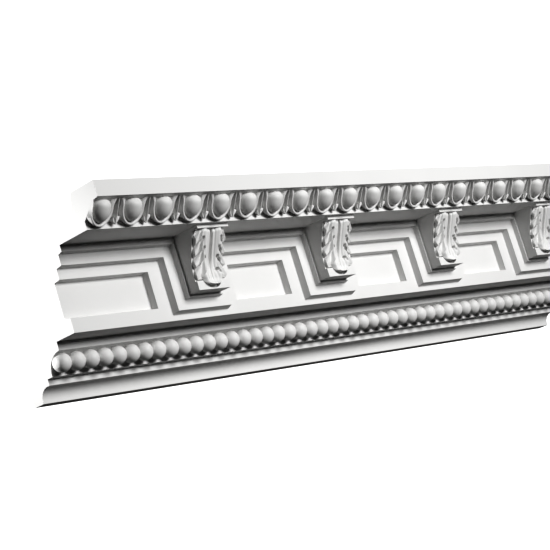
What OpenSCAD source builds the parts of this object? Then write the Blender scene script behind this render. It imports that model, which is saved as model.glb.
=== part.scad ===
// Modillion cornice moulding, one cast length, cut square at both ends.
// X runs along the wall, -Y points into the room and +Z points up.
// The origin is the middle of the face that is glued to the wall.

/* [Overall] */
// Length between the two square cuts
length = 1020; // [560:10:2000]
// Height on the wall, foot to ceiling
height = 200; // [185:1:260]
// Projection along the ceiling, wall to fascia
projection = 188.5; // [182:0.5:230]

/* [Top mouldings] */
// Height of the plain fascia
fascia_h = 19; // [12:0.5:30]
// How far the fascia overhangs the egg course
fascia_drip = 6; // [3:0.5:8]
// Height of the slant under the fascia
drip_h = 1; // [0.5:0.5:2]
// Height of the ovolo that carries the eggs
ovolo_h = 17; // [14:0.5:20]
// How far the ovolo steps back from top to bottom
ovolo_w = 23.6; // [20:0.2:26]
// How deep the egg course's ground lies at its top
ovolo_bed = 4; // [2:0.5:6]
// Height of the fillet under the eggs
top_fillet_h = 9.4; // [6:0.2:14]

/* [Frieze] */
// Depth of the sunk panels from the wall
panel_d = 86.3; // [80:0.5:95]
// Step from the panels out to the frieze face
frieze_step = 9.3; // [5:0.1:12]
// Step from the frieze face out to the outer frame
frame_step = 9.1; // [5:0.1:12]
// Step from the outer frame out to the inner frame
inner_step = 6.4; // [4:0.1:9]
// Height of the inner frame's band under the soffit
inner_band_h = 7.8; // [5:0.1:12]
// Height of the outer frame's band
frame_band_h = 13.6; // [8:0.1:18]
// Height of the frieze face above the panels
panel_top_h = 13.4; // [8:0.1:18]
// Height of the frieze face below the panels
panel_foot_h = 16.3; // [14:0.1:24]
// Slant of a moulded edge, for each step
edge_draft = 1.3; // [0.5:0.1:2]
// Slant of a lower edge, which is greater
foot_draft = 2.8; // [1:0.1:4]

/* [Foot mouldings] */
// Depth of the soffit above the bead course
lower_soffit_w = 31.5; // [24:0.5:40]
// Height of the riser above the bead course
riser_h = 10; // [6:0.5:16]
// Radius of the cove that holds the beads
bead_cove_r = 22; // [20:0.5:26]
// Height of the lip under the beads
lip_h = 2; // [1:0.5:4]
// Step from the lip back to the fillet
lip_step = 8.6; // [5:0.2:12]
// Height of the fillet under the lip
foot_fillet_h = 7.3; // [5:0.1:12]
// Flat under the foot fillet, in front of the cove
foot_flat = 3.8; // [2:0.1:8]
// Radius of the foot cove
foot_cove_r = 13.5; // [9:0.5:15]
// Height of the foot's lowest edge
foot_edge_h = 2.7; // [1:0.1:5]

/* [Back] */
// Height of the face that is glued to the wall
wall_face_h = 38; // [30:1:45]
// Width of the face that is glued to the ceiling
ceiling_face_w = 39; // [30:1:46]
// Thickness of the casting behind the panels
frieze_t = 18.6; // [14:0.2:24]
// Thickness of the casting above the soffit
soffit_t = 18.4; // [14:0.2:24]
// Corner cut inside the hollow back
hollow_cut = 23; // [14:1:30]
// Height of the foot of the hollow's upright face
hollow_foot_z = 79.5; // [70:0.5:95]
// Slant of the inner side of the ceiling face
ceiling_slant = 9.6; // [4:0.2:14]
// Rise of the chamfer above the wall face
wall_slant = 4; // [2:0.5:8]

/* [Modillions] */
// Centre of the first modillion from the left end
first_modillion = 202; // [80:1:240]
// Spacing of the modillions
modillion_pitch = 234.5; // [180:0.5:300]
// Width of a modillion
modillion_w = 52; // [40:1:58]
// Height of a modillion below the soffit
modillion_h = 71.2; // [60:0.2:78]
// How far a modillion's foot stands out from the inner frame
modillion_foot = 16.5; // [14:0.1:20]
// How far a modillion's waist draws in from its foot
waist_in = 2; // [1:0.1:4]
// Height above its foot where a modillion's face starts to lean out
bend_h = 31.1; // [20:0.1:40]
// Half height of the soft bend there
bend_soft = 9; // [4:0.5:14]
// How far the face leans out for each unit of rise
face_slope = 0.516; // [0.3:0.002:0.6]
// Height of the thin cap under the soffit
cap_h = 4.1; // [3:0.1:6]
// How far the cap is set back from the soffit's edge
cap_setback = 6.7; // [4:0.1:9]
// Half width of the inner frame around a modillion
inner_half_w = 30; // [29:0.5:36]
// Half width of the outer frame around a modillion
frame_half_w = 47.3; // [42:0.5:52]
// Half width of the frieze face between two panels
panel_gap = 66.7; // [60:0.5:75]
// Drop of the inner frame under a modillion
inner_drop = 4; // [2:0.1:6]
// Drop of the outer frame under a modillion
frame_drop = 18.4; // [14:0.1:21]

/* [Leaf] */
// Greatest thickness of the acanthus leaf
leaf_t = 8; // [4:0.1:9]
// How far the leaf's tip curls out
leaf_curl = 6; // [3:0.1:8]
// Height of the plain foot below the leaf's tip
leaf_clear = 6.2; // [5:0.1:14]
// How far the body lies behind the leaf's edge
leaf_edge = 2; // [1:0.1:3]
// Lobes down each side of the leaf
leaf_lobes = 4; // [3:1:6]

/* [Egg and dart] */
// Eggs from one modillion to the next
eggs_per_bay = 5; // [3:1:5]
// Lean of the rims' plane from level
rim_lean = 54.6; // [48:0.2:60]
// Radius of an egg's wide end
egg_r = 12.1; // [8:0.1:12.5]
// Radius of an egg's narrow end
egg_tip_r = 9; // [5:0.1:9.5]
// How far an egg's wide end runs up under the fascia
egg_rise = 1.6; // [0.5:0.1:3]
// How deep an egg's centre lies behind its rim
egg_sink = 4.7; // [3:0.1:6]
// Gap between an egg and its rim
rim_gap = 0.5; // [0.3:0.1:2]
// Width of the rim under an egg
rim_w = 3.5; // [2:0.1:4.5]
// Width of the rim at the top, where it flares
rim_flare = 7.6; // [3:0.1:8.5]
// Half width of a dart's arrowhead
dart_w = 4.2; // [2.5:0.1:5]
// Length of a dart's arrowhead
dart_l = 9; // [6:0.5:11]

/* [Beads] */
// Spacing of the beads
bead_pitch = 21.1; // [20:0.1:28]
// Radius of a bead
bead_r = 11; // [8:0.1:11.5]
// Height of the beads above the lip's foot
bead_lift = 1.4; // [0.5:0.1:3]
// Centre of the first bead from the left end
first_bead = 9.2; // [0:0.1:20]

/* [Hidden] */
$fn = 32;
overlap = 2;

// Heights of the courses, from the foot up.
foot_top_z = foot_edge_h + foot_cove_r;
lip_z = foot_top_z + foot_fillet_h;
cove_z = lip_z + lip_h;
riser_z = cove_z + bead_cove_r;
frieze_z = riser_z + riser_h;
fascia_z = height - fascia_h;
ovolo_top_z = fascia_z - drip_h;
ovolo_z = ovolo_top_z - ovolo_h;
soffit_z = ovolo_z - top_fillet_h;
inner_z = soffit_z - inner_band_h;
frame_z = inner_z - frame_band_h;
panel_top_z = frame_z - panel_top_h;
panel_foot_z = frieze_z + panel_foot_h;
back_top_z = soffit_z + soffit_t;

// Depths of the courses from the wall.
ovolo_top_d = projection - fascia_drip;
fillet_d = ovolo_top_d - ovolo_w;
frieze_d = panel_d + frieze_step;
frame_d = frieze_d + frame_step;
inner_d = frame_d + inner_step;
riser_d = frieze_d - lower_soffit_w;
lip_d = riser_d - bead_cove_r;
foot_fillet_d = lip_d - lip_step;
foot_d = foot_fillet_d - foot_flat - foot_cove_r;
hollow_d = panel_d - frieze_t;
ceiling_d = projection - ceiling_face_w;

// Modillions: as many as fit with their frames whole, and where they stand.
modillion_room = length - first_modillion - panel_gap;
modillions = 1 + floor(modillion_room / modillion_pitch);
modillion_x = [for (i = [0:modillions - 1]) first_modillion + i * modillion_pitch];
modillion_foot_z = soffit_z - modillion_h;
cap_d = fillet_d - cap_setback;
modillion_foot_d = inner_d + modillion_foot;
leaf_top_z = soffit_z - cap_h;
leaf_tip_z = modillion_foot_z + leaf_clear;
waist_d = modillion_foot_d - waist_in;
bend_z = modillion_foot_z + bend_h;

// Egg course, drawn on the leaning plane of its rims.
egg_pitch = modillion_pitch / eggs_per_bay;
first_egg = first_modillion - egg_pitch * ceil(first_modillion / egg_pitch);
eggs = 2 + floor((length - first_egg) / egg_pitch);
rim_l = (ovolo_h + top_fillet_h) / sin(rim_lean) - 1;
rim_r = egg_tip_r + rim_gap;
egg_y = egg_rise - egg_r;
tip_y = -rim_l + rim_r + rim_w;
rim_t = 14;

// Bead course, from the bead that the left cut may leave a part of.
beads = 1 + floor((length + bead_r - first_bead) / bead_pitch);
bead_d = riser_d - bead_r;
bead_z = lip_z + bead_r + bead_lift;

// A run along X of a shape drawn as depth from the wall and height.
module run(x0, x1) {
    translate([x1, 0, 0]) rotate([90, 0, -90]) linear_extrude(x1 - x0) children();
}

// A block from depth d0 out to d1. Each side slants in by its own draft.
module slanted(x0, x1, z0, z1, d0, d1, left, right, foot, top) {
    intersection() {
        translate([0, 0, z0 - abs(foot)])
            linear_extrude(z1 - z0 + abs(foot) + abs(top))
                polygon([[x0, -d0], [x1, -d0], [x1 - right, -d1], [x0 + left, -d1]]);
        run(x0 - abs(left), x1 + abs(right))
            polygon([[d0, z0], [d0, z1], [d1, z1 - top], [d1, z0 + foot]]);
    }
}

// The outline of the plain casting, with square corners where its coves go.
module outline() {
    polygon([
        [0, 0],
        [foot_d, 0],
        [foot_d, foot_top_z],
        [foot_fillet_d, foot_top_z],
        [foot_fillet_d, lip_z],
        [lip_d, lip_z],
        [lip_d, riser_z],
        [riser_d, riser_z],
        [riser_d, frieze_z],
        [frieze_d, frieze_z],
        [frieze_d, frame_z - edge_draft],
        [frame_d, frame_z],
        [frame_d, inner_z - edge_draft],
        [inner_d, inner_z],
        [inner_d, soffit_z],
        [fillet_d, soffit_z],
        [fillet_d, ovolo_z],
        [ovolo_top_d - ovolo_bed, ovolo_top_z],
        [ovolo_top_d, ovolo_top_z],
        [projection, fascia_z],
        [projection, height],
        [ceiling_d, height],
        [ceiling_d - ceiling_slant, back_top_z],
        [hollow_d + hollow_cut, back_top_z],
        [hollow_d, back_top_z - hollow_cut],
        [hollow_d, hollow_foot_z],
        [foot_d, wall_face_h + wall_slant],
        [0, wall_face_h],
    ]);
}

// A corner filled out to a quarter cove of radius r.
module cove(corner_d, corner_z, r) {
    difference() {
        translate([corner_d - overlap, corner_z - r]) square([r + overlap, r]);
        translate([corner_d + r, corner_z - r]) circle(r);
    }
}

module casting() {
    run(0, length) {
        outline();
        cove(lip_d, riser_z, bead_cove_r);
        cove(foot_d, foot_top_z, foot_cove_r);
    }
}

// One sunk panel, cut from x0 to x1. A slant of 0 is a panel that runs out.
module panel_cut(x0, x1, left, right) {
    slanted(x0, x1, panel_foot_z + foot_draft, panel_top_z - edge_draft,
        panel_d, frieze_d + 1, -left, -right, -foot_draft, -edge_draft);
}

module panel_cuts() {
    slant = edge_draft;
    first = modillion_x[0] - panel_gap - slant;
    last = modillion_x[modillions - 1] + panel_gap + slant;
    panel_cut(-overlap, first, 0, slant);
    for (i = [1:1:modillions - 1])
        panel_cut(modillion_x[i - 1] + panel_gap + slant, modillion_x[i] - panel_gap - slant,
            slant, slant);
    panel_cut(last, length + overlap, slant, 0);
}

// The two frames that drop from their bands to go round a modillion.
module frames() {
    slanted(-frame_half_w, frame_half_w, modillion_foot_z - frame_drop, frame_z + overlap,
        frieze_d - overlap, frame_d, foot_draft, foot_draft, foot_draft, 0);
    slanted(-inner_half_w, inner_half_w, modillion_foot_z - inner_drop, inner_z + overlap,
        frame_d - overlap, inner_d, edge_draft, edge_draft, edge_draft, 0);
}

// Depth of a modillion's face at height z: upright below, leaning out above.
function face_d(z) = waist_d
    + face_slope * (z - bend_z + sqrt(pow(z - bend_z, 2) + pow(bend_soft, 2))) / 2;

module modillion_body() {
    steps = 12;
    run(-modillion_w / 2, modillion_w / 2)
        polygon(concat(
            [[frame_d, modillion_foot_z], [modillion_foot_d, modillion_foot_z],
                [modillion_foot_d, leaf_tip_z]],
            [for (i = [0:steps])
                let (z = leaf_tip_z + (leaf_top_z - leaf_tip_z) * i / steps)
                [face_d(z) - leaf_edge, z]],
            [[cap_d, leaf_top_z], [cap_d, soffit_z + overlap], [frame_d, soffit_z + overlap]]
        ));
}

// The acanthus leaf: a thick sheet down the face, lobed, ribbed and curled.
leaf_cols = 8;
leaf_rows = 18;
function leaf_z(v) = leaf_top_z + 1 - v * (leaf_top_z + 1 - leaf_tip_z);
function lobe(v) = abs(sin(180 * leaf_lobes * v));
function leaf_half_w(v) = modillion_w / 2 * (0.88 + 0.12 * pow(lobe(v), 0.5))
    * (v < 0.85 ? 1 : sqrt(1 - pow((v - 0.85) / 0.16, 2)));
function curl(v) = leaf_curl * pow(v, 6);
function rib(u) = 0.8 * (1 - cos(360 * 2 * u)) / 2;
function leaf_front(u, v) = face_d(leaf_z(v)) + curl(v)
    + (leaf_t - 1.5 + rib(u)) * sqrt(1.05 - u * u) * (0.75 + 0.25 * lobe(v));
function leaf_back(u, v) = face_d(leaf_z(v)) + curl(v) - 2 * leaf_edge * (1 - v) - 0.5;

module leaf() {
    columns = leaf_cols + 1;
    grid = columns * (leaf_rows + 1);
    u_at = [for (i = [0:leaf_cols]) 2 * i / leaf_cols - 1];
    front = [for (j = [0:leaf_rows], u = u_at)
        let (v = j / leaf_rows) [u * leaf_half_w(v), -leaf_front(u, v), leaf_z(v)]];
    back = [for (j = [0:leaf_rows], u = u_at)
        let (v = j / leaf_rows) [u * leaf_half_w(v), -leaf_back(u, v), leaf_z(v)]];
    cells = [for (j = [0:leaf_rows - 1], i = [0:leaf_cols - 1]) j * columns + i];
    rows_ends = [for (j = [0:leaf_rows - 1]) j * columns];
    polyhedron(concat(front, back), concat(
        [for (a = cells) [a, a + 1, a + columns]],
        [for (a = cells) [a + 1, a + columns + 1, a + columns]],
        [for (a = cells) [grid + a, grid + a + columns, grid + a + 1]],
        [for (a = cells) [grid + a + 1, grid + a + columns, grid + a + columns + 1]],
        [for (a = rows_ends) [a, a + columns, grid + a + columns, grid + a]],
        [for (a = rows_ends) [a + leaf_cols, grid + a + leaf_cols,
            grid + a + columns + leaf_cols, a + columns + leaf_cols]],
        [for (i = [0:leaf_cols - 1]) [i, grid + i, grid + i + 1, i + 1]],
        [for (i = [grid - columns:grid - 2]) [i, i + 1, grid + i + 1, grid + i]]
    ));
}

// Turns the rims' plane to the ovolo: local Y runs up it and local Z out of it.
module on_ovolo(x) {
    translate([x, -ovolo_top_d, ovolo_top_z]) rotate([180 - rim_lean, 0, 0]) children();
}

module egg() {
    translate([0, 0, -egg_sink]) rotate([90, 0, 0]) rotate_extrude()
        intersection() {
            union() {
                translate([0, -egg_y]) circle(egg_r);
                translate([0, -tip_y]) circle(egg_tip_r);
                polygon([[0, -egg_y], [egg_r, -egg_y], [egg_tip_r, -tip_y], [0, -tip_y]]);
            }
            translate([0, -egg_y - egg_r]) square([egg_r, rim_l]);
        }
}

// A cup shape: round below with radius r, and open to half width w at the top.
module cup(r, w, top) {
    translate([0, tip_y]) circle(r);
    polygon([[-r, tip_y], [r, tip_y], [w, egg_y / 2], [w, top], [-w, top], [-w, egg_y / 2]]);
}

module rim() {
    inner_w = egg_r + rim_gap;
    translate([0, 0, -rim_t]) linear_extrude(rim_t)
        difference() {
            union() {
                cup(rim_r + rim_w, inner_w + rim_w, -overlap);
                polygon([[-rim_r - rim_w, tip_y], [rim_r + rim_w, tip_y],
                    [inner_w + rim_flare, 0], [-inner_w - rim_flare, 0]]);
            }
            cup(rim_r, inner_w, overlap);
        }
}

module dart() {
    translate([0, 0, -rim_t]) linear_extrude(rim_t)
        polygon([[-1, 0], [-0.8, dart_l + 2 - rim_l], [-dart_w, dart_l - rim_l],
            [0, -rim_l + 2], [dart_w, dart_l - rim_l], [0.8, dart_l + 2 - rim_l], [1, 0]]);
}

module egg_course() {
    for (i = [0:eggs - 1]) {
        on_ovolo(first_egg + i * egg_pitch) {
            egg();
            rim();
        }
        on_ovolo(first_egg + (i + 0.5) * egg_pitch) dart();
    }
}

module bead_course() {
    for (i = [-1:beads - 1])
        translate([first_bead + i * bead_pitch, -bead_d, bead_z]) sphere(bead_r);
}

module cornice_moulding() {
    color("white") translate([-length / 2, 0, -wall_face_h / 2])
        intersection() {
            union() {
                difference() {
                    casting();
                    panel_cuts();
                }
                for (x = modillion_x) translate([x, 0, 0]) {
                    frames();
                    modillion_body();
                    leaf();
                }
                egg_course();
                bead_course();
            }
            translate([0, -projection, 0]) cube([length, projection, height]);
        }
}

cornice_moulding();
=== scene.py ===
from math import atan2, ceil, cos, exp, floor, pi, radians, sin, sqrt

import bmesh
import bpy
from mathutils import Matrix, Vector


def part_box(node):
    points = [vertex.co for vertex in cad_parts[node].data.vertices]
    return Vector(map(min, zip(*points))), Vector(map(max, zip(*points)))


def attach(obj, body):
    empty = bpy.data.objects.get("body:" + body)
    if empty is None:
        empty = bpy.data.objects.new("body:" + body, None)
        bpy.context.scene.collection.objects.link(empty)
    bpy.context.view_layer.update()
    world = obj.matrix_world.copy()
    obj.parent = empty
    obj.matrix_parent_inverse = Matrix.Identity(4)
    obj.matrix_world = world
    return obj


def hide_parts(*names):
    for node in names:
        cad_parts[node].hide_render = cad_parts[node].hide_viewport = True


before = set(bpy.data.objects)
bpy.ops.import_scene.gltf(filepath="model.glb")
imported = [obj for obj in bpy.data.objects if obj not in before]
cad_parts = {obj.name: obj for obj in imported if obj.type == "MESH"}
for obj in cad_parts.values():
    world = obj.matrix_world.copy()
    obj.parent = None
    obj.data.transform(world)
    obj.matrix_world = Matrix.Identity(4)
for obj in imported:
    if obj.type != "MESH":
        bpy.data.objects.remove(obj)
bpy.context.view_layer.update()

# ---------------------------------------------------------------- sizes, in mm
# Depths are measured from the wall, heights from the foot, and x from the left end.
MM = 0.001
NODE = "cornice_moulding"
low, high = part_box(NODE)
length, projection, height = ((high - low) / MM)[:]

fascia_h, fascia_drip, drip_h = 19, 6, 1
ovolo_h, ovolo_w, ovolo_bed, top_fillet_h = 17, 23.6, 4, 9.4
panel_d, frieze_step, frame_step, inner_step = 86.3, 9.3, 9.1, 6.4
inner_band_h, frame_band_h, panel_top_h, panel_foot_h = 7.8, 13.6, 13.4, 16.3
edge_draft, foot_draft = 1.3, 2.8
lower_soffit_w, riser_h, bead_cove_r = 31.5, 10, 22
lip_h, lip_step, foot_fillet_h, foot_flat = 2, 8.6, 7.3, 3.8
foot_cove_r, foot_edge_h = 13.5, 2.7
wall_face_h, ceiling_face_w, frieze_t, soffit_t = 38, 39, 18.6, 18.4
hollow_cut, hollow_foot_z, ceiling_slant, wall_slant = 23, 79.5, 9.6, 4
first_modillion, modillion_pitch = 202, 234.5
modillion_w, modillion_h, modillion_foot, waist_in = 52, 71.2, 16.5, 2
cap_h, cap_setback = 4.1, 6.7
bend_h, bend_soft, face_slope = 31.1, 9, 0.516
inner_half_w, frame_half_w, panel_gap = 30, 47.3, 66.7
inner_drop, frame_drop = 4, 18.4
leaf_clear = 6.2
undercut_half_w, undercut_half_h, undercut_d, undercut_rise = 13.4, 8.9, 8, 4
eggs_per_bay, rim_lean = 5, radians(54.6)
bead_pitch, bead_r, bead_lift, first_bead = 21.1, 11, 1.4, 9.2

foot_top_z = foot_edge_h + foot_cove_r
lip_z = foot_top_z + foot_fillet_h
cove_z = lip_z + lip_h
riser_z = cove_z + bead_cove_r
frieze_z = riser_z + riser_h
fascia_z = height - fascia_h
ovolo_top_z = fascia_z - drip_h
ovolo_z = ovolo_top_z - ovolo_h
soffit_z = ovolo_z - top_fillet_h
inner_z = soffit_z - inner_band_h
frame_z = inner_z - frame_band_h
panel_top_z = frame_z - panel_top_h
panel_foot_z = frieze_z + panel_foot_h
back_top_z = soffit_z + soffit_t

ovolo_top_d = projection - fascia_drip
fillet_d = ovolo_top_d - ovolo_w
frieze_d = panel_d + frieze_step
frame_d = frieze_d + frame_step
inner_d = frame_d + inner_step
riser_d = frieze_d - lower_soffit_w
lip_d = riser_d - bead_cove_r
foot_fillet_d = lip_d - lip_step
foot_d = foot_fillet_d - foot_flat - foot_cove_r
hollow_d = panel_d - frieze_t
ceiling_d = projection - ceiling_face_w

modillions = 1 + floor((length - first_modillion - panel_gap) / modillion_pitch)
modillion_x = [first_modillion + i * modillion_pitch for i in range(modillions)]
modillion_foot_z = soffit_z - modillion_h
cap_d = fillet_d - cap_setback
modillion_foot_d = inner_d + modillion_foot
leaf_top_z = soffit_z - cap_h
leaf_tip_z = modillion_foot_z + leaf_clear
waist_d = modillion_foot_d - waist_in
bend_z = modillion_foot_z + bend_h
egg_pitch = modillion_pitch / eggs_per_bay


def at(x, d, z):
    """The point x along the moulding, d from the wall and z above the foot."""
    return Vector((x - length / 2, -d, z - wall_face_h / 2)) * MM


# ---------------------------------------------------------------- mesh helpers
def shade(piece, angle):
    """Smooth shading, with arrises sharper than the angle kept crisp."""
    mesh = piece.data
    mesh.polygons.foreach_set("use_smooth", [True] * len(mesh.polygons))
    mesh.set_sharp_from_angle(angle=radians(angle))


def new_piece(name, bm, smooth_angle=35):
    """An object at the origin from a finished bmesh, which is used up."""
    mesh = bpy.data.meshes.new(name)
    bm.to_mesh(mesh)
    bm.free()
    piece = bpy.data.objects.new(name, mesh)
    bpy.context.scene.collection.objects.link(piece)
    shade(piece, smooth_angle)
    return piece


def slab(points, x0, x1):
    """A bmesh of a section of (depth, height) points run from x0 to x1."""
    bm = bmesh.new()
    face = bm.faces.new([bm.verts.new(at(x0, d, z)) for d, z in points])
    run = bmesh.ops.extrude_face_region(bm, geom=[face])
    moved = [g for g in run["geom"] if isinstance(g, bmesh.types.BMVert)]
    bmesh.ops.translate(bm, verts=moved, vec=Vector((x1 - x0, 0, 0)) * MM)
    bmesh.ops.recalc_face_normals(bm, faces=bm.faces)
    return bm


def slanted_block(bm, x0, x1, z0, z1, d0, d1, left, right, foot, top):
    """Adds a block from depth d0 to d1 whose four sides slant in by their drafts."""
    for v in bmesh.ops.create_cube(bm, size=1)["verts"]:
        front = v.co.y < 0
        x = x1 - right * front if v.co.x > 0 else x0 + left * front
        z = z1 - top * front if v.co.z > 0 else z0 + foot * front
        v.co = at(x, d1 if front else d0, z)


def combine(target, bm, operation):
    """Adds or cuts the closed shapes in bm, which is used up."""
    bmesh.ops.recalc_face_normals(bm, faces=bm.faces)
    other = new_piece("tool", bm)
    mod = target.modifiers.new("tool", "BOOLEAN")
    mod.operation, mod.solver, mod.object = operation, "MANIFOLD", other
    shape = target.evaluated_get(bpy.context.evaluated_depsgraph_get())
    mesh = bpy.data.meshes.new_from_object(shape)
    target.modifiers.clear()
    old, target.data = target.data, mesh
    bpy.data.meshes.remove(old)
    bpy.data.objects.remove(other)


def repeat(unit, places):
    """A bmesh of copies of a unit, which is used up, moved along to each place in mm."""
    mesh = bpy.data.meshes.new("unit")
    unit.to_mesh(mesh)
    unit.free()
    bm = bmesh.new()
    for x in places:
        known = len(bm.verts)
        bm.from_mesh(mesh)
        bm.verts.ensure_lookup_table()
        bmesh.ops.translate(bm, verts=bm.verts[known:], vec=Vector((x, 0, 0)) * MM)
    bpy.data.meshes.remove(mesh)
    return bm


def square_ends(piece, angle):
    """Cuts a course flush with both ends of the moulding, a hair inside the casting."""
    hair, past, around = 0.04, 60, 10
    bm = bmesh.new()
    for x0, x1 in ((-past, hair), (length - hair, length + past)):
        slanted_block(bm, x0, x1, -around, height + around,
                      -around, projection + around, 0, 0, 0, 0)
    combine(piece, bm, "DIFFERENCE")
    shade(piece, angle)
    return piece


# ---------------------------------------------------------------- the casting
def quarter(corner_d, corner_z, r, steps=18):
    """A quarter cove from its foot, at depth corner_d, up to height corner_z."""
    turn = [pi - pi / 2 * i / steps for i in range(steps + 1)]
    return [(corner_d + r + r * cos(a), corner_z - r + r * sin(a)) for a in turn]


def outline():
    """The section, from the wall edge at the foot up the face and down the back."""
    return [
        (0, 0), (foot_d, 0),
        *quarter(foot_d, foot_top_z, foot_cove_r),
        (foot_fillet_d, foot_top_z), (foot_fillet_d, lip_z), (lip_d, lip_z),
        *quarter(lip_d, riser_z, bead_cove_r),
        (riser_d, frieze_z), (frieze_d, frieze_z),
        (frieze_d, frame_z - edge_draft), (frame_d, frame_z),
        (frame_d, inner_z - edge_draft), (inner_d, inner_z),
        (inner_d, soffit_z), (fillet_d, soffit_z), (fillet_d, ovolo_z),
        (ovolo_top_d - ovolo_bed, ovolo_top_z), (ovolo_top_d, ovolo_top_z),
        (projection, fascia_z), (projection, height), (ceiling_d, height),
        (ceiling_d - ceiling_slant, back_top_z), (hollow_d + hollow_cut, back_top_z),
        (hollow_d, back_top_z - hollow_cut), (hollow_d, hollow_foot_z),
        (foot_d, wall_face_h + wall_slant), (0, wall_face_h),
    ]


def panels():
    """The sunk panels between the modillions. The two end ones run out."""
    bm = bmesh.new()
    gap = panel_gap + edge_draft
    lefts = [-gap - 10] + [x + gap for x in modillion_x]
    rights = [x - gap for x in modillion_x] + [length + gap + 10]
    for x0, x1 in zip(lefts, rights):
        slanted_block(bm, x0, x1, panel_foot_z + foot_draft, panel_top_z - edge_draft,
                      panel_d, frieze_d + 1, -edge_draft, -edge_draft,
                      -foot_draft, -edge_draft)
    return bm


def frames(half_w, drop, top, back, front, draft):
    """A stepped frame's drops, one round each modillion."""
    bm = bmesh.new()
    for x in modillion_x:
        slanted_block(bm, x - half_w, x + half_w, modillion_foot_z - drop, top,
                      back, front, draft, draft, draft, 0)
    return bm


def face_d(z):
    """Depth of a modillion's face at height z: upright below, then leaning out."""
    rise = z - bend_z
    return waist_d + face_slope * (rise + sqrt(rise ** 2 + bend_soft ** 2)) / 2


def modillion_bodies():
    """The modillions' cores, a little behind the carved face of their leaves."""
    steps, block_z, bed = 14, leaf_tip_z + 5, 1.5
    heights = [block_z + (leaf_top_z - block_z) * i / steps for i in range(steps + 1)]
    side = [(frame_d, modillion_foot_z), (modillion_foot_d, modillion_foot_z),
            (modillion_foot_d, block_z), *[(face_d(z) - bed, z) for z in heights],
            (cap_d, leaf_top_z), (cap_d, soffit_z + 2), (frame_d, soffit_z + 2)]
    return repeat(slab(side, -modillion_w / 2, modillion_w / 2), modillion_x)


def undercuts():
    """A hollow under each curled leaf tip, its lower edge an arc on the block's face."""
    unit = bmesh.new()
    bmesh.ops.create_cone(unit, cap_ends=True, segments=64, radius1=1, radius2=1,
                          depth=undercut_d, matrix=Matrix.Rotation(pi / 2, 4, "X"))
    for v in unit.verts:
        v.co = at(undercut_half_w * v.co.x, modillion_foot_d - 2 - v.co.y,
                  leaf_tip_z + undercut_rise + undercut_half_h * v.co.z)
    return repeat(unit, modillion_x)


def make_casting():
    """The plain run and its modillions, with every arris but the cut ends' eased."""
    arris, hair = 0.5, 0.01
    casting = new_piece("casting", slab(outline(), 0, length))
    combine(casting, panels(), "DIFFERENCE")
    combine(casting, frames(frame_half_w, frame_drop, frame_z + 2, frieze_d - 2,
                            frame_d, foot_draft), "UNION")
    combine(casting, frames(inner_half_w, inner_drop, inner_z + 2, frame_d - 2,
                            inner_d, edge_draft), "UNION")
    combine(casting, modillion_bodies(), "UNION")
    combine(casting, undercuts(), "DIFFERENCE")
    bm = bmesh.new()
    bm.from_mesh(casting.data)
    bmesh.ops.remove_doubles(bm, verts=bm.verts, dist=0.002 * MM)
    bmesh.ops.dissolve_limit(bm, angle_limit=radians(0.6), verts=bm.verts, edges=bm.edges)
    end = (length / 2 - hair) * MM
    arrises = [e for e in bm.edges if e.calc_face_angle(0) > radians(25)
               and min(abs(v.co.x) for v in e.verts) < end]
    bmesh.ops.bevel(bm, geom=arrises, offset=arris * MM, offset_type="OFFSET",
                    segments=2, profile=0.5, affect="EDGES", material=-1,
                    clamp_overlap=True)
    bm.to_mesh(casting.data)
    bm.free()
    shade(casting, 40)
    casting.modifiers.new("weighted", "WEIGHTED_NORMAL").keep_sharp = True
    return casting


# ---------------------------------------------------------------- bead course
def make_beads():
    """One bead, repeated along its cove and cut flush at both ends."""
    unit = bmesh.new()
    place = Matrix.Translation(at(0, riser_d - bead_r, lip_z + bead_r + bead_lift))
    bmesh.ops.create_uvsphere(unit, u_segments=32, v_segments=20, radius=bead_r * MM,
                              matrix=place @ Matrix.Rotation(pi / 2, 4, "X"))
    count = 1 + floor((length + bead_r - first_bead) / bead_pitch)
    bm = repeat(unit, [first_bead + i * bead_pitch for i in range(-1, count)])
    return square_ends(new_piece("bead_course", bm), 35)


# ---------------------------------------------------------------- egg course
def on_ovolo(x):
    """The rims' leaning plane: local X along, Y up the lean and Z out of it, in mm."""
    c, s = cos(rim_lean), sin(rim_lean)
    turn = Matrix(((1, 0, 0), (0, -c, -s), (0, s, -c))).to_4x4()
    return Matrix.Translation(at(x, ovolo_top_d, ovolo_top_z)) @ turn @ Matrix.Scale(MM, 4)


def add_egg(bm, place):
    """An egg with its full end up, flattened where it meets the fascia."""
    # The upper half is fuller than a ball, and the lower half tapers as one does.
    radius, widest, below, above, sink = 12.1, -12.4, 15.9, 12.2, 4.7
    for v in bmesh.ops.create_uvsphere(bm, u_segments=40, v_segments=28, radius=1)["verts"]:
        t = v.co.z
        ring = sqrt(max(1e-9, 1 - t * t))
        full = sqrt(1 - abs(t) ** 3.4) if 0 < t < 1 else ring
        r = radius * full / ring if abs(t) < 0.9999 else 0
        v.co = place @ Vector((r * v.co.x, widest + (above if t > 0 else below) * t,
                               r * v.co.y - sink))


def sweep(bm, section, stations):
    """Runs a closed section of (across, out) points through the stations."""
    face = bm.faces.new([bm.verts.new(stations[0](a, b)) for a, b in section])
    for i, station in enumerate(stations[1:]):
        run = bmesh.ops.extrude_face_region(bm, geom=[face])
        if i:
            bmesh.ops.delete(bm, geom=[face], context="FACES_ONLY")
        face = next(g for g in run["geom"] if isinstance(g, bmesh.types.BMFace))
        for v, (a, b) in zip(face.verts, section):
            v.co = station(a, b)


# The rim's (across, out) section: a rounded crest with both its skirts in the casting.
RIM_SECTION = [(1, -14), (1, -1.1), (0.9, -0.4), (0.62, 0), (0.3, 0), (-0.2, -0.5),
               (-0.7, -1.5), (-1, -3), (-1.1, -5), (-1.1, -14)]


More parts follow.
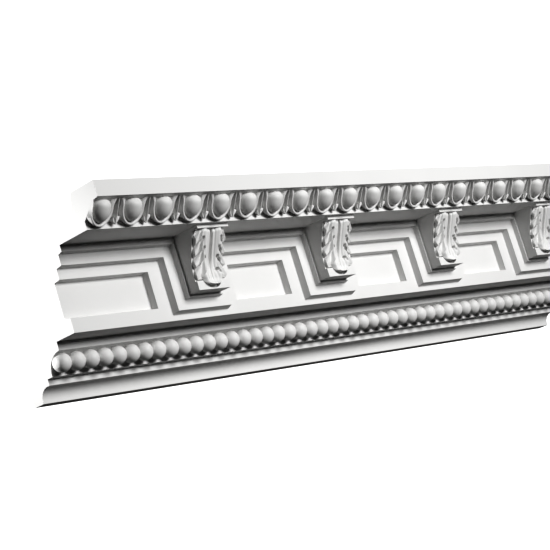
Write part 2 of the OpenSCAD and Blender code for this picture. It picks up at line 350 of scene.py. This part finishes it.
def rim_stations(place):
    """Stations down one leg of the rim, round under the egg and up the other leg."""
    half_w, leg_y, bottom, flare, thick = 14.6, -12, 18, 2.15, 2
    stations = []

    def station(x, y, nx, ny, w):
        stations.append(lambda a, b: place @ Vector((x + nx * w * a, y + ny * w * a, b)))

    def leg_station(side, y):
        grow = flare * ((y - leg_y) / -leg_y) ** 2.2
        station(side * (half_w + grow), y, side, 0, thick + grow)

    legs = [0.4 + (leg_y - 0.4) * i / 8 for i in range(8)]
    for y in legs:
        leg_station(-1, y)
    for i in range(33):
        t = pi + pi * i / 32
        nx, ny = bottom * cos(t), half_w * sin(t)
        n = sqrt(nx * nx + ny * ny)
        station(half_w * cos(t), leg_y + bottom * sin(t), nx / n, ny / n, thick)
    for y in reversed(legs):
        leg_station(1, y)
    return stations


def add_dart(bm, place):
    """A thin shaft that ends in an arrowhead with two upturned barbs."""
    buried, face = -14, -1.2
    shaft = [(-1, buried), (-1, face), (-0.4, -0.4), (0.4, -0.4), (1, face), (1, buried)]
    sweep(bm, shaft, [lambda a, b, y=y, w=w: place @ Vector((a * w, y, b))
                      for y, w in ((0.4, 1.2), (-8, 0.85), (-15, 0.75), (-27, 0.75))])
    for side in (-1, 1):
        barb = [(-0.1, -30.4), (2.6, -27.6), (4.6, -24.6), (5, -22.4), (4.5, -21.2),
                (3.6, -21.4), (2.2, -23.6), (1.2, -25.4), (-0.1, -26.6)]
        loop = [(side * x, y) for x, y in barb]
        base = bm.faces.new([bm.verts.new(place @ Vector((x, y, buried)))
                             for x, y in loop])
        run = bmesh.ops.extrude_face_region(bm, geom=[base])
        top = next(g for g in run["geom"] if isinstance(g, bmesh.types.BMFace))
        for v, (x, y) in zip(top.verts, loop):
            v.co = place @ Vector((x, y, face))
        bmesh.ops.inset_region(bm, faces=[top], thickness=0.55 * MM, depth=0.5 * MM)


def make_eggs():
    """One egg, rim and dart, repeated along the ovolo and cut flush at both ends."""
    unit = bmesh.new()
    add_egg(unit, on_ovolo(0))
    sweep(unit, RIM_SECTION, rim_stations(on_ovolo(0)))
    add_dart(unit, on_ovolo(egg_pitch / 2))
    bmesh.ops.recalc_face_normals(unit, faces=unit.faces)
    first = first_modillion - egg_pitch * ceil(first_modillion / egg_pitch)
    count = 2 + floor((length - first) / egg_pitch)
    bm = repeat(unit, [first + i * egg_pitch for i in range(count)])
    return square_ends(new_piece("egg_course", bm), 50)


# ---------------------------------------------------------------- acanthus leaves
# Each lobe's drilled eye (across from the midrib, height), how far the lobe's lower
# edge drops between the eye and the leaf's outline, and how sharply it turns outward.
# The top lobe has no eye above it, so its fingers spread from a root under the cap.
EYES = [(15, 139.4), (12.6, 129.2), (10.4, 119.2), (8.6, 105)]
DROPS = [(6.6, 1.3), (8.3, 1.4), (10.8, 1.5), (10, 1.7)]
LOBES = len(EYES)
TOP_ROOT = (16, 151)
finger_h, finger_turn, finger_start = 1.7, radians(29), radians(8)
lobe_reach, eye_depth = 24, 5.4
notch_half_w, lobe_bulge, leaf_half_w, tip_half_w = 22.9, 2.4, 23.4, 16.5
tip_drop, tip_rise, tip_curl, leaf_t = 1.4, 7.6, 5.8, 4.5


def smooth(a, b, t):
    """Rises smoothly from 0 at a to 1 at b."""
    t = min(1, max(0, (t - a) / (b - a)))
    return t * t * (3 - 2 * t)


def bump(t, width):
    """A rounded bump of height 1 about t = 0."""
    return exp(-((t / width) ** 2))


def fan(k, s, z):
    """How high the fingers below an eye stand here, -1 to 1, and how far off it is."""
    root_s, root_z = EYES[k - 1] if k else TOP_ROOT
    turn = atan2(s - root_s + 1, root_z + 1 - z)
    finger = cos((turn - finger_start) * 2 * pi / finger_turn)
    return finger, sqrt((s - root_s) ** 2 + (root_z - z) ** 2)


def lobe_foot(k, s):
    """Height of the lower edge of lobe k, which falls from its eye to the outline."""
    eye_s, eye_z = EYES[k]
    drop, turn = DROPS[k]
    t = min(1, max(-0.3, (s - eye_s) / (lobe_reach - eye_s)))
    return eye_z - drop * (1 - (1 - t) ** turn)


def relief(x, z):
    """How far the carving stands above the modillion's face."""
    s = abs(x)
    # The crowned body, falling to its edges and dished along the midrib.
    crown = min(6.6, 4.6 + max(0, z - 105) * 0.06)
    out = 1.2 + crown * (1 + 0.2 * bump(s - 12, 5)) * (1 - 0.6 * (s / lobe_reach) ** 3)
    out -= 2.9 * (1 - smooth(3, 13, s))

    # Each lobe rises to its lower edge and steps down to the next, and carries fingers.
    k = 0
    while k < LOBES and z < lobe_foot(k, s):
        k += 1
    side_s = EYES[min(k, LOBES - 1)][0]
    part = smooth(side_s - 1, side_s + 5, s)
    if k < LOBES:
        top = lobe_foot(k - 1, s) if k else leaf_top_z + 3
        foot = lobe_foot(k, s)
        down = min(1, max(0, (top - z) / max(1, top - foot)))
        finger, reach = fan(k, s, z)
        out += part * (4.8 * down ** 0.85 - 3.8)
        out += part * finger_h * finger * smooth(2, 9, reach)
        out -= part * 1.4 * smooth(0.88, 1, down)
    else:
        # Below the last lobe, fine ribs spread over the tip.
        spread = atan2(x, z - 70) / radians(13)
        out += 0.4 * cos(2 * pi * spread) * smooth(2, 8, s) * smooth(89, 96, z)
    for eye_s, eye_z in EYES:
        gone = sqrt((s - eye_s) ** 2 + ((z - eye_z) * 1.1) ** 2)
        out -= eye_depth * (1 - smooth(1.1, 2.3, gone))

    # The midrib's groove, deeper towards the top, with flutes beside it.
    w = s / (1 + 0.6 * smooth(112, 92, z))
    centre = smooth(90, 98, z)
    deep = smooth(104, 119, z)
    groove = (0.6 + 1.2 * deep) * (1 - 0.4 * smooth(139, 149, z))
    out -= (1.4 + 3.7 * deep) * (1 - smooth(groove, groove + 0.9, s)) * centre
    out += 0.5 * bump(w - 3.6, 1.1) * centre
    out -= 0.5 * bump(w - 5.6, 0.8) * centre
    out += 0.2 * bump(w - 7.4, 0.8) * centre
    return out


def leaf_point(u, v):
    """Place on the leaf, in mm: across, out from the wall, and height.

    u runs from the left edge to the right, and v from the top to the tip."""
    side = abs(u)
    reach = min(1, side * leaf_half_w / tip_half_w)
    end = leaf_tip_z - tip_drop + tip_rise * (1 - sqrt(1 - reach ** 2.2))
    start = leaf_top_z - 0.4
    z = start - v * (start - end)

    # The outline bulges along each lobe and comes in at the notches.
    tops = [start + 6] + [lobe_foot(k, lobe_reach) for k in range(LOBES)] + [end - 9]
    k = max(i for i in range(LOBES + 1) if z <= tops[i] or i == 0)
    half = notch_half_w
    if k < LOBES:
        down = min(1, max(0, (tops[k] - z) / (tops[k] - tops[k + 1])))
        half += lobe_bulge * sin(pi * down ** 1.4) ** 0.7
    x = u * half

    # The tip curls outward and its carving fades.
    near = max(0, 1 - (z - end) / 10)
    curl = tip_curl * near ** 2.2 * (1 - smooth(0.5, 1, reach))
    fade = 1 - 0.7 * near ** 1.5
    top_in = 1.5 * smooth(145, start, z)
    face = min(cap_d - 0.8, face_d(z) + relief(x, z) * fade - top_in)
    return x, face + curl, z


def make_leaf(index, x):
    """A leaf on the modillion at x: a fine sheet, carved and thickened backwards."""
    bm = bmesh.new()
    bmesh.ops.create_grid(bm, x_segments=110, y_segments=180, size=1)
    for v in bm.verts:
        across, d, z = leaf_point(v.co.x, (1 - v.co.y) / 2)
        v.co = at(x + across, d, z)
    run = bmesh.ops.extrude_face_region(bm, geom=bm.faces[:])
    back = [g for g in run["geom"] if isinstance(g, bmesh.types.BMVert)]
    bmesh.ops.translate(bm, verts=back, vec=Vector((0, leaf_t, 0)) * MM)
    bmesh.ops.recalc_face_normals(bm, faces=bm.faces)
    return new_piece(f"leaf_{index}", bm, smooth_angle=65)


# ---------------------------------------------------------------- material
class Sock:
    """A shader socket that Python arithmetic works on."""

    def __init__(self, tree, socket):
        self.tree, self.socket = tree, socket

    def __add__(self, other):
        return add_node(self.tree, "Math", {"operation": "ADD"}, {0: self, 1: other})

    def __mul__(self, other):
        return add_node(self.tree, "Math", {"operation": "MULTIPLY"}, {0: self, 1: other})

    __radd__, __rmul__ = __add__, __mul__


def feed(tree, node, sockets):
    """Gives a node's sockets, by name or number, their values or links."""
    for key, value in sockets.items():
        if isinstance(value, Sock):
            tree.links.new(value.socket, node.inputs[key])
        else:
            node.inputs[key].default_value = value


def add_node(tree, kind, settings, sockets, output=0):
    """A node of a kind: its settings first, then its sockets' values or links."""
    node = tree.nodes.new("ShaderNode" + kind)
    for key, value in settings.items():
        setattr(node, key, value)
    feed(tree, node, sockets)
    return Sock(tree, node.outputs[output])


def primed_foam():
    """Matt white factory primer, very slightly mottled and with a fine grain."""
    shadow_white, primer_white = (0.74, 0.738, 0.73, 1), (0.78, 0.778, 0.77, 1)
    material = bpy.data.materials.new("primed_polyurethane")
    material.use_nodes = True
    tree = material.node_tree
    place = add_node(tree, "TexCoord", {}, {}, output="Object")
    mottle = add_node(tree, "TexNoise", {}, {"Vector": place, "Scale": 14, "Detail": 3})
    grain = add_node(tree, "TexNoise", {}, {"Vector": place, "Scale": 900, "Detail": 2})
    tint = add_node(tree, "Mix", {"data_type": "RGBA"},
                    {0: mottle, 6: shadow_white, 7: primer_white}, output=2)
    rough = 0.5 + 0.16 * mottle
    normal = add_node(tree, "Bump", {},
                      {"Strength": 0.08, "Distance": 0.0004, "Height": grain})
    feed(tree, tree.nodes["Principled BSDF"],
         {"Base Color": tint, "Roughness": rough, "Normal": normal})
    return material


# ---------------------------------------------------------------- make it all
pieces = [make_casting(), make_beads(), make_eggs()]
pieces += [make_leaf(i + 1, x) for i, x in enumerate(modillion_x)]
finish = primed_foam()
for piece in pieces:
    piece.data.materials.clear()
    piece.data.materials.append(finish)
    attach(piece, "root")
    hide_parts(NODE)

# ---------------------------------------------------------------- camera and studio
camera = bpy.data.objects.new("camera", bpy.data.cameras.new("camera"))
bpy.context.scene.collection.objects.link(camera)
bpy.context.scene.camera = camera
camera.data.lens = 118.7
camera.data.sensor_width = 36
yaw, pitch, roll = radians(49.42), radians(9.89), radians(-16.99)
camera.matrix_world = (Matrix.Translation(at(-1325.8, 1529.6, -284.2))
                       @ Matrix.Rotation(-yaw, 4, "Z")
                       @ Matrix.Rotation(pi / 2 + pitch, 4, "X")
                       @ Matrix.Rotation(roll, 4, "Z"))


def softbox(name, place, target, size, power, spread):
    """A square lamp that faces its target: metres, watts, and degrees of spread."""
    light = bpy.data.lights.new(name, "AREA")
    light.shape, light.size, light.energy = "SQUARE", size, power
    light.spread = radians(spread)
    lamp = bpy.data.objects.new(name, light)
    bpy.context.scene.collection.objects.link(lamp)
    lamp.matrix_world = (Matrix.Translation(place)
                         @ (target - place).to_track_quat("-Z", "Y").to_matrix().to_4x4())
    lamp.visible_camera = False


middle = at(length / 2, projection / 2, height / 2)
softbox("key", middle + Vector((0.45, -3.2, 0.85)), middle,
        size=1.3, power=9.8, spread=52)
softbox("left_end", at(-450, -430, 300), at(0, 90, 100),
        size=0.25, power=1.1, spread=70)
softbox("right_end", at(length + 450, -430, 300), at(length, 90, 100),
        size=0.25, power=0.6, spread=70)
softbox("back", middle + Vector((0, 2.4, 0.9)), middle,
        size=1.5, power=4, spread=120)

floor_half_w, floor_z = 1.2, -1.3
ground = bpy.data.objects.new("floor", bpy.data.meshes.new("floor"))
bm = bmesh.new()
bmesh.ops.create_grid(bm, x_segments=1, y_segments=1, size=floor_half_w)
bmesh.ops.translate(bm, verts=bm.verts, vec=Vector((0, 0, floor_z)))
bm.to_mesh(ground.data)
bm.free()
bpy.context.scene.collection.objects.link(ground)
pale = bpy.data.materials.new("pale_floor")
pale.use_nodes = True
feed(pale.node_tree, pale.node_tree.nodes["Principled BSDF"],
     {"Base Color": (0.62, 0.62, 0.62, 1), "Roughness": 0.8})
ground.data.materials.append(pale)

# The backdrop is white to look at, and sheds no light of its own.
world = bpy.data.worlds.new("studio")
bpy.context.scene.world = world
world.use_nodes = True
seen = add_node(world.node_tree, "LightPath", {}, {}, output="Is Camera Ray")
feed(world.node_tree, world.node_tree.nodes["Background"],
     {"Color": (1, 1, 1, 1), "Strength": 1.1 * seen})
bpy.context.scene.view_settings.view_transform = "Standard"
bpy.context.scene.view_settings.look = "High Contrast"
